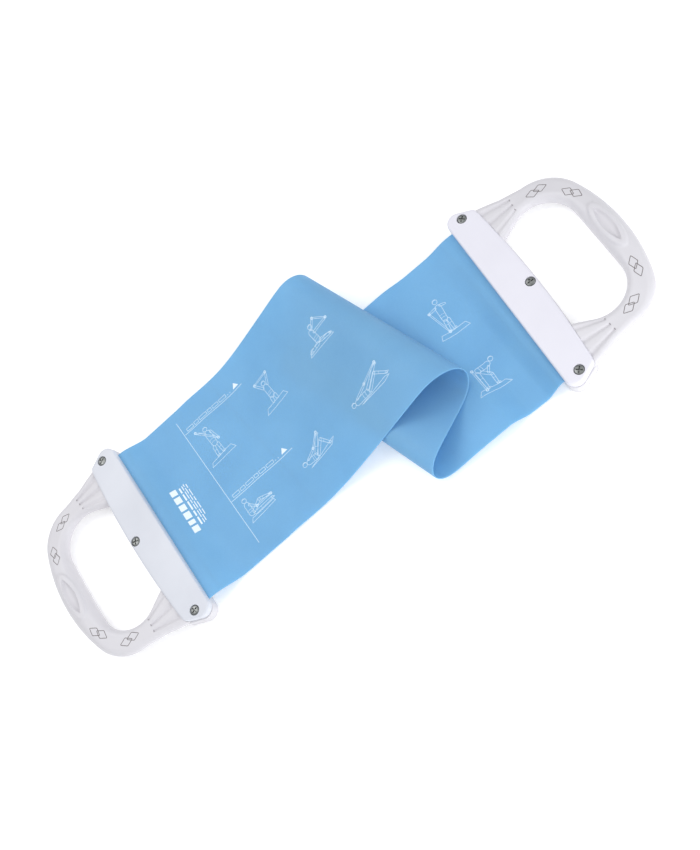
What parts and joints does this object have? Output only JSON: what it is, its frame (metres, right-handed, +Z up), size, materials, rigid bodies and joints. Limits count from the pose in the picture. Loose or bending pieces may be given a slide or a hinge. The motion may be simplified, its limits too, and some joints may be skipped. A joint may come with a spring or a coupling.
{
  "type": "resistance band",
  "caption": "Flat elastic exercise band with a rigid D-loop handle clamped to each end, lying loosely folded over itself",
  "frame": {"origin": "on the floor, under the middle of the object's bounding box", "axes": "+Z up out of the floor; +X along the sheet as it leaves handle A, from handle A towards handle B, which is the longest extent; +Y across the sheet; the printed face of the top layer faces +Z"},
  "size_m": [0.5028, 0.2258, 0.0379],
  "materials": {
    "band": "satin latex-like sheet, light blue",
    "handle": "off-white moulded plastic",
    "plate": "off-white moulded plastic, slightly smoother",
    "screw": "zinc-plated steel"
  },
  "bodies": {
    "sheet_bottom": {"sheet_bottom_inner": "band"},
    "sheet_bottom_far": {"sheet_bottom_outer": "band"},
    "grip_b": {"handle_b": "handle", "clamp_plate_b": "plate", "screws_b": "screw", "sheet_end_b": "band"},
    "lower_roll_c": {"lower_roll_3": "band"},
    "lower_roll_b": {"lower_roll_2": "band"},
    "lower_roll_a": {"lower_roll_1": "band"},
    "middle": {"sheet_middle": "band"},
    "upper_roll_d": {"upper_roll_4": "band"},
    "upper_roll_c": {"upper_roll_3": "band"},
    "upper_roll_b": {"upper_roll_2": "band"},
    "upper_roll_a": {"upper_roll_1": "band"},
    "ramp": {"sheet_ramp": "band"},
    "sheet_top": {"sheet_top_inner": "band"},
    "sheet_top_far": {"sheet_top_outer": "band"},
    "grip_a": {"handle_a": "handle", "clamp_plate_a": "plate", "screws_a": "screw", "sheet_end_a": "band"}
  },
  "joints": [
    {"name": "lower_fold_4", "type": "hinge", "parent": "sheet_bottom", "child": "lower_roll_c", "pos_m": [0.01854, -0.02023, 0.00184], "axis": [0.2377, -0.9712, 0.0186], "range_deg": [0, 36], "stiffness_Nm_per_rad": 0.6},
    {"name": "lower_fold_3", "type": "hinge", "parent": "lower_roll_c", "child": "lower_roll_b", "pos_m": [0.01334, -0.01932, 0.00669], "axis": [0.2377, -0.9712, 0.0186], "range_deg": [0, 55.07], "stiffness_Nm_per_rad": 0.6},
    {"name": "lower_fold_2", "type": "hinge", "parent": "lower_roll_b", "child": "lower_roll_a", "pos_m": [0.01326, -0.01727, 0.01306], "axis": [0.2377, -0.9712, 0.0186], "range_deg": [0, 55.07], "stiffness_Nm_per_rad": 0.6},
    {"name": "lower_fold_1", "type": "hinge", "parent": "lower_roll_a", "child": "middle", "pos_m": [0.01803, -0.01392, 0.01727], "axis": [0.2377, -0.9712, 0.0186], "range_deg": [0, 22.5], "stiffness_Nm_per_rad": 0.6},
    {"name": "upper_fold_5", "type": "hinge", "parent": "middle", "child": "upper_roll_d", "pos_m": [0.06717, 0.01479, 0.00711], "axis": [-0.258, 0.966, -0.0148], "range_deg": [0, 17], "stiffness_Nm_per_rad": 0.6},
    {"name": "upper_fold_4", "type": "hinge", "parent": "upper_roll_d", "child": "upper_roll_c", "pos_m": [0.07458, 0.01964, 0.01226], "axis": [-0.258, 0.966, -0.0148], "range_deg": [0, 35], "stiffness_Nm_per_rad": 0.6},
    {"name": "upper_fold_3", "type": "hinge", "parent": "upper_roll_c", "child": "upper_roll_b", "pos_m": [0.07663, 0.02328, 0.02222], "axis": [-0.258, 0.966, -0.0148], "range_deg": [0, 43.48], "stiffness_Nm_per_rad": 0.6},
    {"name": "upper_fold_2", "type": "hinge", "parent": "upper_roll_b", "child": "upper_roll_a", "pos_m": [0.072, 0.02483, 0.03067], "axis": [-0.258, 0.966, -0.0148], "range_deg": [0, 43.48], "stiffness_Nm_per_rad": 0.6},
    {"name": "upper_fold_1", "type": "hinge", "parent": "upper_roll_a", "child": "ramp", "pos_m": [0.05702, 0.0253, 0.0365], "axis": [-0.258, 0.966, -0.0148], "range_deg": [0, 43.48], "stiffness_Nm_per_rad": 0.6},
    {"name": "rise_fold", "type": "hinge", "parent": "ramp", "child": "sheet_top", "pos_m": [-0.04377, 0.02691, 0.00146], "axis": [0.1821, -0.9832, -0.013], "range_deg": [0, 16.2], "stiffness_Nm_per_rad": 0.6},
    {"name": "stretch", "type": "slide", "parent": "sheet_top", "child": "sheet_top_far", "axis": [-0.9975, 0, 0.0712], "range_m": [0, 0.1], "stiffness_N_per_m": 250},
    {"name": "stretch_bottom", "type": "slide", "parent": "sheet_bottom", "child": "sheet_bottom_far", "axis": [0.9974, -0.0468, 0.0548], "range_m": [0, 0.124], "stiffness_N_per_m": 200},
    {"name": "tilt_handle_a", "type": "hinge", "parent": "sheet_top_far", "child": "grip_a", "pos_m": [-0.15009, 0.02691, 0.00905], "axis": [0, 1, 0], "range_deg": [0, 80], "stiffness_Nm_per_rad": 0.02},
    {"name": "tilt_handle_b", "type": "hinge", "parent": "sheet_bottom_far", "child": "grip_b", "pos_m": [0.14985, -0.0264, 0.00905], "axis": [-0.1049, -0.9945, 0], "range_deg": [0, 80], "stiffness_Nm_per_rad": 0.02}
  ],
  "couplings": [
    {"joint": "stretch_bottom", "follows": "stretch", "ratio": 1.24}
  ]
}
